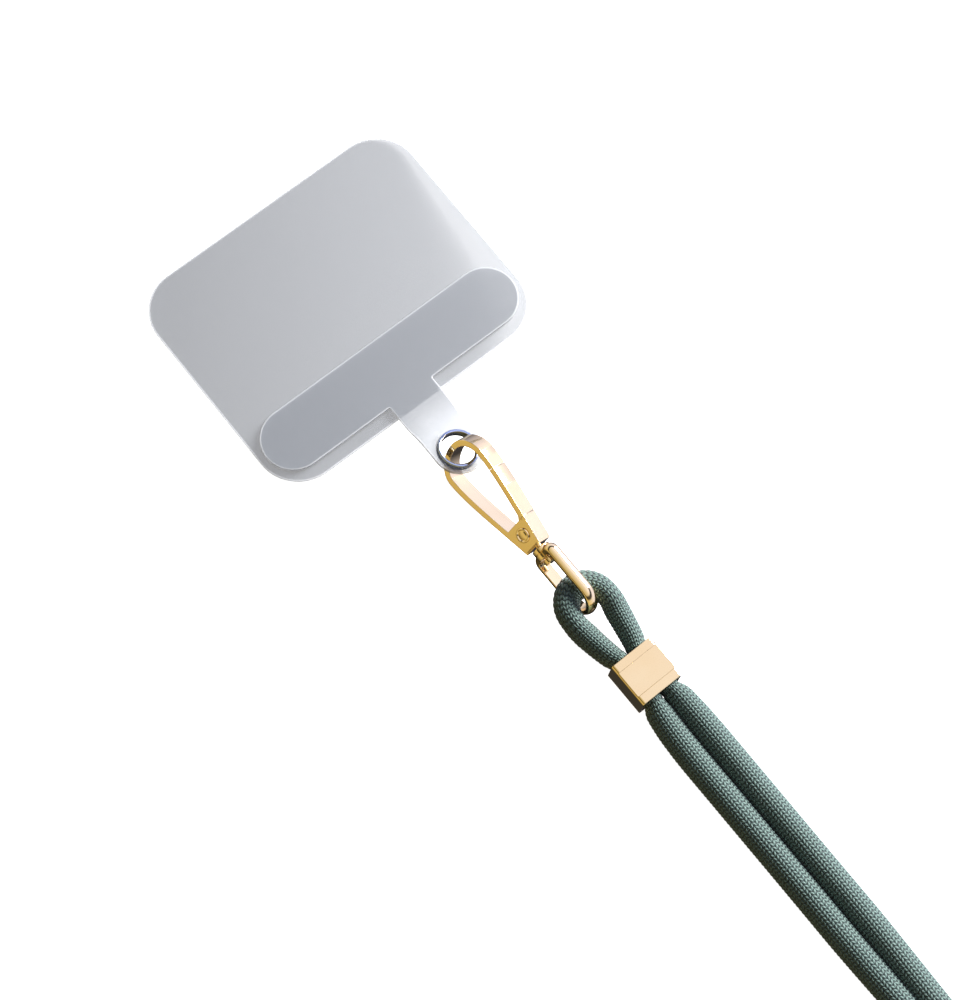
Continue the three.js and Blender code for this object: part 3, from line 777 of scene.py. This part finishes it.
# height of the knit, 0 in a groove and 1 on a stitch: each leg of a stitch is a slanted
# pad, and neighbouring legs slant opposite ways
def knitHeight(across, along):
    leg = np.floor(across)
    w = across - leg - 0.5
    side = 1 - 2 * (leg % 2)
    phase = (along + side * rope["slant"] * w) % 1 - 0.5
    pad = np.sqrt(np.clip(1 - (rope["columnGroove"] * w) ** 2, 0, 1))
    return pad * (1 - rope["crossGroove"] * (2 * np.abs(phase)) ** 3)


# a stretch of the rope: ellipses square to the route, sunk where the knit is low
def ropeStretch(name, start, end, stepLength, perLeg, side, material):
    fine, delta = 60, 0.05
    places, shares = routePoints(fine)
    length = np.concatenate([[0], np.cumsum(np.linalg.norm(np.diff(places, axis=0), axis=1))])
    first, last = length[start * fine], length[end * fine]
    steps = int((last - first) / stepLength)
    s = np.linspace(first, last, steps + 1)
    centre = np.stack([np.interp(s, length, places[:, i]) for i in range(3)], -1)
    ahead = np.stack([np.interp(s + delta, length, places[:, i])
                      - np.interp(s - delta, length, places[:, i]) for i in range(3)], -1)
    ahead[s <= delta] = (0, 1, 0)
    ahead[s >= length[-1] - delta] = (0, -1, 0)
    ahead /= np.linalg.norm(ahead, axis=1)[:, None]
    aside = np.cross((0, 0, 1), ahead)
    aside /= np.linalg.norm(aside, axis=1)[:, None]
    lift = np.cross(ahead, aside)
    flat, tall = (np.interp(s, length, shares[:, i])[:, None, None] * radius for i in range(2))
    across = np.arange(rope["legs"] * perLeg) / perLeg
    angle = 2 * math.pi * across / rope["legs"]
    sink = 1 - (1 - knitHeight(across, s[:, None] / rope["pitch"])) * rope["relief"] / radius
    out = (aside[:, None] * flat * np.cos(angle)[:, None]
           + lift[:, None] * tall * np.sin(angle)[:, None])
    points = (centre[:, None] + out * sink[..., None]) * (1, side, 1)

    rows, columns = points.shape[:2]
    row, column = np.meshgrid(np.arange(rows - 1), np.arange(columns), indexing="ij")
    cornerRow = np.stack([row, row, row + 1, row + 1], -1).reshape(-1)
    cornerColumn = np.stack([column, column + 1, column + 1, column], -1).reshape(-1)
    uv = np.stack([cornerColumn / perLeg, s[cornerRow] / rope["pitch"]], -1)
    caps = np.concatenate([np.stack([across[::-1], np.full(columns, s[0] / rope["pitch"])], -1),
                           np.stack([across, np.full(columns, s[-1] / rope["pitch"])], -1)])
    piece = makeMesh(name, [gridShell(points)], 180, uv=np.concatenate([uv, caps]))
    finishPiece(piece, material, "rope_yarn", "strap", "rope")


def math2(nodes, links, operation, a, b=None):
    node = nodes.new("ShaderNodeMath")
    node.operation = operation
    for socket, value in zip(node.inputs, (a, b)):
        if isinstance(value, (int, float)):
            socket.default_value = value
        elif value is not None:
            links.new(value, socket)
    return node.outputs[0]


# the middle colour is the yarn's own; the near-black groove colour is painted shade and the pale crown
# colour a painted highlight
ropeFinish = {
    "groove": (0.001, 0.004, 0.003), "yarn": (0.012, 0.040, 0.033), "paintedHighlightCrown": (0.16, 0.25, 0.215),
    "sheen": 1.0, "sheenRoughness": 0.4, "roughness": 0.62,
    "fibreScale": 5.0, "fibreStretch": (3, 0.6, 1), "fibre": 0.25, "bumpHeight": 0.00012, "bump": 0.6,
}


# knitted yarn: the same stitches as the relief, worked out from the rope's own map; its colour carries
# painted shade in the grooves and a painted highlight on the stitches' crowns
def yarn():
    material, nodes, links, shader = startMaterial("knitted yarn")
    uv = nodes.new("ShaderNodeUVMap")
    uv.uv_map = "stitches"
    split = nodes.new("ShaderNodeSeparateXYZ")
    links.new(uv.outputs["UV"], split.inputs[0])

    def work(operation, a, b=None):
        return math2(nodes, links, operation, a, b)

    across, along = split.outputs["X"], split.outputs["Y"]
    leg = work("FLOOR", across)
    w = work("SUBTRACT", work("SUBTRACT", across, leg), 0.5)
    side = work("SUBTRACT", 1.0, work("MULTIPLY", work("FLOORED_MODULO", leg, 2.0), 2.0))
    slanted = work("ADD", along, work("MULTIPLY", work("MULTIPLY", side, w), rope["slant"]))
    phase = work("ABSOLUTE", work("SUBTRACT", work("FRACT", slanted), 0.5))
    ridge = work("POWER", work("MULTIPLY", w, rope["columnGroove"]), 2.0)
    pad = work("SQRT", work("MAXIMUM", work("SUBTRACT", 1.0, ridge), 0.0))
    bow = work("SUBTRACT", 1.0, work("MULTIPLY", work("POWER", work("MULTIPLY", phase, 2.0), 3.0),
                                     rope["crossGroove"]))
    height = work("MULTIPLY", pad, bow)
    fibres = nodes.new("ShaderNodeTexNoise")
    fibres.inputs["Scale"].default_value = ropeFinish["fibreScale"]
    fibres.inputs["Detail"].default_value = 2
    stretch = nodes.new("ShaderNodeMapping")
    stretch.inputs["Scale"].default_value = ropeFinish["fibreStretch"]
    links.new(uv.outputs["UV"], stretch.inputs["Vector"])
    links.new(stretch.outputs["Vector"], fibres.inputs["Vector"])
    rough = work("ADD", height, work("MULTIPLY", fibres.outputs["Fac"], ropeFinish["fibre"]))
    # painted shade in the grooves and a painted highlight on the crowns, following the knit's height
    links.new(ramp(nodes, links, rough, [(0.25, ropeFinish["groove"]), (0.7, ropeFinish["yarn"]),
                                         (1.0, ropeFinish["paintedHighlightCrown"])]), shader.inputs["Base Color"])
    shader.inputs["Roughness"].default_value = ropeFinish["roughness"]
    shader.inputs["Sheen Weight"].default_value = ropeFinish["sheen"]
    shader.inputs["Sheen Roughness"].default_value = ropeFinish["sheenRoughness"]
    bumpOf(nodes, links, rough, shader, ropeFinish["bumpHeight"], ropeFinish["bump"])
    return material


def makeRope():
    material = yarn()
    for side, hand in ((1, "right"), (-1, "left")):
        for name, start, end, steps in (("rope_near_", 0, partedRow, rope["nearSteps"]),
                                        ("rope_far_", partedRow, len(ropeRoute) - 1, rope["farSteps"])):
            ropeStretch(name + hand, start, end, rope["pitch"] / steps, steps, side, material)


# studio: a glowing white floor, a sky with a dark belt, brighter on the right, and one lamp
studio = {
    "floor": (0.92, 0.92, 0.92), "floorGlow": 1.0,
    "zenith": 0.86, "belt": 0.07, "horizon": 0.9, "rightSide": 1.1, "leftSide": 0.42,
    "highTurn": 0.7, "fill": 0.2, "keyPower": 34.0, "keySize": 0.5, "keyHeight": 24.0,
    "keyTurn": 95.0, "keyDistance": 1.1,
    "highLeast": 0.25, "highFrom": 0.6, "floorSize": 12.0, "floorRoughness": 0.9, "keyAim": 0.03,
}


def makeFloor():
    mesh = bpy.data.meshes.new("floor")
    size = studio["floorSize"]
    mesh.from_pydata([(-size, -size, 0), (size, -size, 0), (size, size, 0), (-size, size, 0)], [],
                     [(0, 1, 2, 3)])
    floor = bpy.data.objects.new("floor", mesh)
    bpy.context.scene.collection.objects.link(floor)
    material, _, _, shader = startMaterial("floor")
    shader.inputs["Base Color"].default_value = (*studio["floor"], 1)
    shader.inputs["Roughness"].default_value = studio["floorRoughness"]
    shader.inputs["Emission Color"].default_value = (1, 1, 1, 1)
    shader.inputs["Emission Strength"].default_value = studio["floorGlow"]
    mesh.materials.append(material)
    floor.visible_glossy = False  # light from below comes from the sky's lower half
    floor.visible_diffuse = False


def makeSky():
    world = bpy.data.worlds.new("studio")
    bpy.context.scene.world = world
    world.use_nodes = True
    nodes, links = world.node_tree.nodes, world.node_tree.links
    background = nodes["Background"]
    place = nodes.new("ShaderNodeTexCoord")
    split = nodes.new("ShaderNodeSeparateXYZ")
    links.new(place.outputs["Generated"], split.inputs[0])
    height, aside = split.outputs["Z"], split.outputs["Y"]

    def work(operation, a, b=None):
        return math2(nodes, links, operation, a, b)

    rise = ramp(nodes, links, height, [
        (0.0, (1, 1, 1)), (0.35, (1, 1, 1)), (0.48, (0, 0, 0)), (0.66, (0, 0, 0)), (0.76, (1, 1, 1))])
    sinking = ramp(nodes, links, work("MULTIPLY", height, -1.0), [
        (0.0, (1, 1, 1)), (0.3, (0.6, 0.6, 0.6)), (0.8, (0.05, 0.05, 0.05))])
    warmth = ramp(nodes, links, work("MULTIPLY", work("ADD", aside, 1.0), 0.5), [
        (0.2, (1, 0.85, 0.42)), (0.45, (1, 1, 1)), (0.6, (1, 1.05, 1.45)), (0.9, (1, 1.1, 1.9))])
    links.new(warmth, background.inputs["Color"])
    flank = work("ADD", studio["horizon"],
                 work("MULTIPLY", aside, studio["rightSide"] - studio["horizon"]))
    low = work("MAXIMUM", flank, studio["leftSide"])
    isHigh = work("GREATER_THAN", height, studio["highFrom"])
    high = work("ADD", studio["zenith"], work("MULTIPLY", aside, studio["highTurn"]))
    high = work("MAXIMUM", high, studio["highLeast"])
    level = work("ADD", work("MULTIPLY", low, work("SUBTRACT", 1.0, isHigh)),
                 work("MULTIPLY", isHigh, high))
    level = work("MULTIPLY", work("ADD", work("MULTIPLY", level, rise), studio["belt"]), sinking)
    seen = nodes.new("ShaderNodeLightPath")
    glossy = work("ADD", studio["fill"],
                  work("MULTIPLY", seen.outputs["Is Glossy Ray"], 1 - studio["fill"]))
    level = work("MULTIPLY", level, glossy)
    links.new(level, background.inputs["Strength"])
    plain = nodes.new("ShaderNodeBackground")
    mix = nodes.new("ShaderNodeMixShader")
    links.new(seen.outputs["Is Camera Ray"], mix.inputs["Fac"])
    links.new(background.outputs[0], mix.inputs[1])
    links.new(plain.outputs[0], mix.inputs[2])
    plain.inputs["Color"].default_value = (1, 1, 1, 1)
    links.new(mix.outputs[0], nodes["World Output"].inputs["Surface"])


def makeLamp():
    lamp = bpy.data.lights.new("key", "AREA")
    lamp.energy, lamp.size = studio["keyPower"], studio["keySize"]
    key = bpy.data.objects.new("key", lamp)
    bpy.context.scene.collection.objects.link(key)
    height, turn = math.radians(studio["keyHeight"]), math.radians(studio["keyTurn"])
    way = Vector((math.cos(height) * math.cos(turn), math.cos(height) * math.sin(turn),
                  math.sin(height)))
    key.location = Vector((eyeletX * mm + studio["keyAim"], 0, 0)) + way * studio["keyDistance"]
    key.rotation_euler = way.to_track_quat("Z", "Y").to_euler()


placeCamera()
print("camera placed")
makeRope()
print("rope made")
makePatch()
makeTab()
makeEyelet()
print("patch, tab and eyelet made")
gold = metal("pale gold", goldFinish)
makeHook(gold)
makeGate(gold)
makeRivet(gold)
makeRing(gold)
makeSleeve(gold)
print("hook, ring and sleeve made")
makeFloor()
makeSky()
makeLamp()
bpy.context.scene.view_settings.view_transform = "Standard"
print("studio made")
